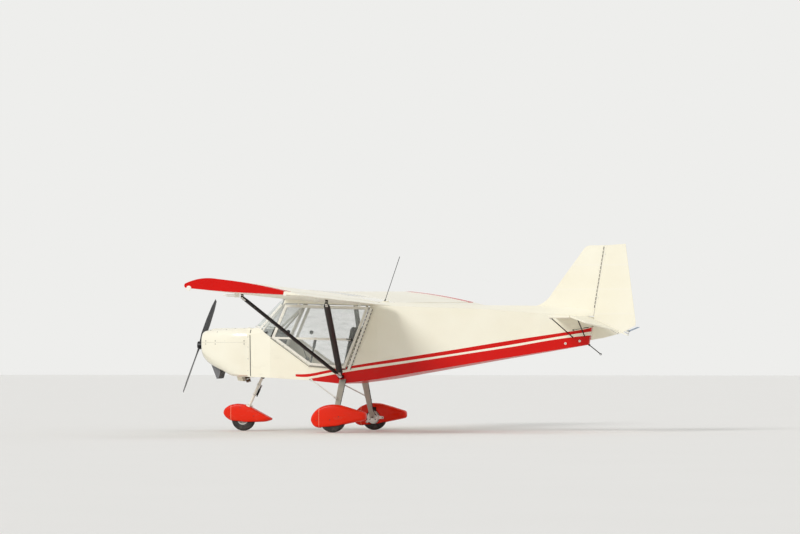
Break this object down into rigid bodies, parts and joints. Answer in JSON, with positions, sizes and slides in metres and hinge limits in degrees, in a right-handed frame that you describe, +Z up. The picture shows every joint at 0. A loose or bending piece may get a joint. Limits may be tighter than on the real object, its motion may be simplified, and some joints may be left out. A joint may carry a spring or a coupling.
{
  "type": "two-seat ultralight aircraft",
  "caption": "High-wing strut-braced ultralight aeroplane with side-by-side cabin, nose-wheel gear in spats, tractor propeller and lifting cabin doors.",
  "frame": {"origin": "on the ground, below the middle of the aeroplane's bounding box", "axes": "+X towards the tail, +Y to starboard, +Z up"},
  "size_m": [5.78, 9.5, 2.383],
  "materials": {
    "white_fabric": "smooth painted cloth",
    "red_fabric": "smooth painted cloth",
    "white_shell": "gloss",
    "clear_sheet": "clear",
    "white_tube": "satin paint",
    "dark_strut": "gloss paint",
    "leg_alloy": "satin",
    "steel": "brushed",
    "red_shell": "gloss",
    "tyre": "matt",
    "rim": "satin paint",
    "engine_metal": "cast",
    "black_plastic": "matt",
    "seat_cover": "woven",
    "blade": "satin"
  },
  "bodies": {
    "airframe": {"aerial": "white_shell", "aft_fuselage": "white_fabric", "cabin_frame": "white_tube", "cabin_tub": "white_fabric", "cabin_windows": "clear_sheet", "control_stick": "black_plastic", "cooling_outlet": "white_shell", "cowl_lower": "white_shell", "cowl_upper": "white_shell", "drag_braces": "white_tube", "engine_block": "engine_metal", "exhaust": "black_plastic", "fin": "white_fabric", "firewall": "leg_alloy", "front_struts": "dark_strut", "instrument_panel": "black_plastic", "main_axles": "steel", "main_leg_port": "leg_alloy", "main_leg_starboard": "leg_alloy", "main_spat_port": "red_shell", "main_spat_starboard": "red_shell", "nose_leg_housing": "white_tube", "radiator": "black_plastic", "rear_struts": "dark_strut", "roof_panel": "white_shell", "root_fairings": "white_shell", "rudder_pedals": "steel", "seat_port": "seat_cover", "seat_starboard": "seat_cover", "tail_skid": "dark_strut", "tail_struts": "dark_strut", "tailplane": "white_fabric", "windscreen": "clear_sheet", "wing_port": "white_fabric", "wing_starboard": "white_fabric", "wing_tip_port": "red_fabric", "wing_tip_starboard": "red_fabric"},
    "propeller": {"propeller": "blade"},
    "nose_steering": {"nose_fork": "white_tube", "nose_axle": "steel", "nose_spat": "red_shell"},
    "nose_wheel": {"nose_tyre": "tyre", "nose_rim": "rim"},
    "elevator": {"elevator": "white_fabric"},
    "rudder": {"rudder": "white_fabric"},
    "main_wheel_port": {"main_tyre_port": "tyre", "main_rim_port": "rim"},
    "door_port": {"door_frame_port": "white_tube", "door_panes_port": "clear_sheet"},
    "flap_port": {"flap_port": "white_fabric"},
    "aileron_port": {"aileron_port": "white_fabric"},
    "main_wheel_starboard": {"main_tyre_starboard": "tyre", "main_rim_starboard": "rim"},
    "door_starboard": {"door_frame_starboard": "white_tube", "door_panes_starboard": "clear_sheet"},
    "flap_starboard": {"flap_starboard": "white_fabric"},
    "aileron_starboard": {"aileron_starboard": "white_fabric"}
  },
  "joints": [
    {"name": "propeller_spin", "type": "hinge", "parent": "airframe", "child": "propeller", "pos_m": [-2.868, 0, 1.105], "axis": [1, 0, 0], "continuous": true},
    {"name": "nose_steer", "type": "hinge", "parent": "airframe", "child": "nose_steering", "pos_m": [-2.276, 0, 0.156], "axis": [0.4274, 0, 0.9041], "range_deg": [-20, 20]},
    {"name": "nose_wheel_spin", "type": "hinge", "parent": "nose_steering", "child": "nose_wheel", "pos_m": [-2.276, 0, 0.156], "axis": [0, 1, 0], "continuous": true},
    {"name": "elevator_tilt", "type": "hinge", "parent": "airframe", "child": "elevator", "pos_m": [2.3, 0, 1.452], "axis": [0, 1, 0], "range_deg": [-44, 3]},
    {"name": "rudder_turn", "type": "hinge", "parent": "airframe", "child": "rudder", "pos_m": [2.36702, 0, 1.452], "axis": [0.1609, 0, 0.987], "range_deg": [-25, 25]},
    {"name": "main_wheel_port_spin", "type": "hinge", "parent": "airframe", "child": "main_wheel_port", "pos_m": [-0.796, -1.02, 0.167], "axis": [0, 1, 0], "continuous": true},
    {"name": "door_port_lift", "type": "hinge", "parent": "airframe", "child": "door_port", "pos_m": [-1, -0.551, 1.613], "axis": [-0.9995, 0, 0.0303], "range_deg": [0, 80]},
    {"name": "flap_port_down", "type": "hinge", "parent": "airframe", "child": "flap_port", "pos_m": [-0.34151, -1.56, 1.64412], "axis": [0, 0.9999, -0.0166], "range_deg": [0, 35]},
    {"name": "aileron_port_tilt", "type": "hinge", "parent": "airframe", "child": "aileron_port", "pos_m": [-0.34151, -3.5, 1.67629], "axis": [0, 0.9999, -0.0166], "range_deg": [-18, 18]},
    {"name": "main_wheel_starboard_spin", "type": "hinge", "parent": "airframe", "child": "main_wheel_starboard", "pos_m": [-0.796, 1.02, 0.167], "axis": [0, 1, 0], "continuous": true},
    {"name": "door_starboard_lift", "type": "hinge", "parent": "airframe", "child": "door_starboard", "pos_m": [-1, 0.551, 1.613], "axis": [0.9995, 0, -0.0303], "range_deg": [0, 80]},
    {"name": "flap_starboard_down", "type": "hinge", "parent": "airframe", "child": "flap_starboard", "pos_m": [-0.34151, 1.56, 1.64412], "axis": [0, 0.9999, 0.0166], "range_deg": [0, 35]},
    {"name": "aileron_starboard_tilt", "type": "hinge", "parent": "airframe", "child": "aileron_starboard", "pos_m": [-0.34151, 3.5, 1.67629], "axis": [0, 0.9999, 0.0166], "range_deg": [-18, 18]}
  ],
  "couplings": [
    {"joint": "flap_starboard_down", "follows": "flap_port_down", "ratio": 1},
    {"joint": "aileron_starboard_tilt", "follows": "aileron_port_tilt", "ratio": -1}
  ]
}
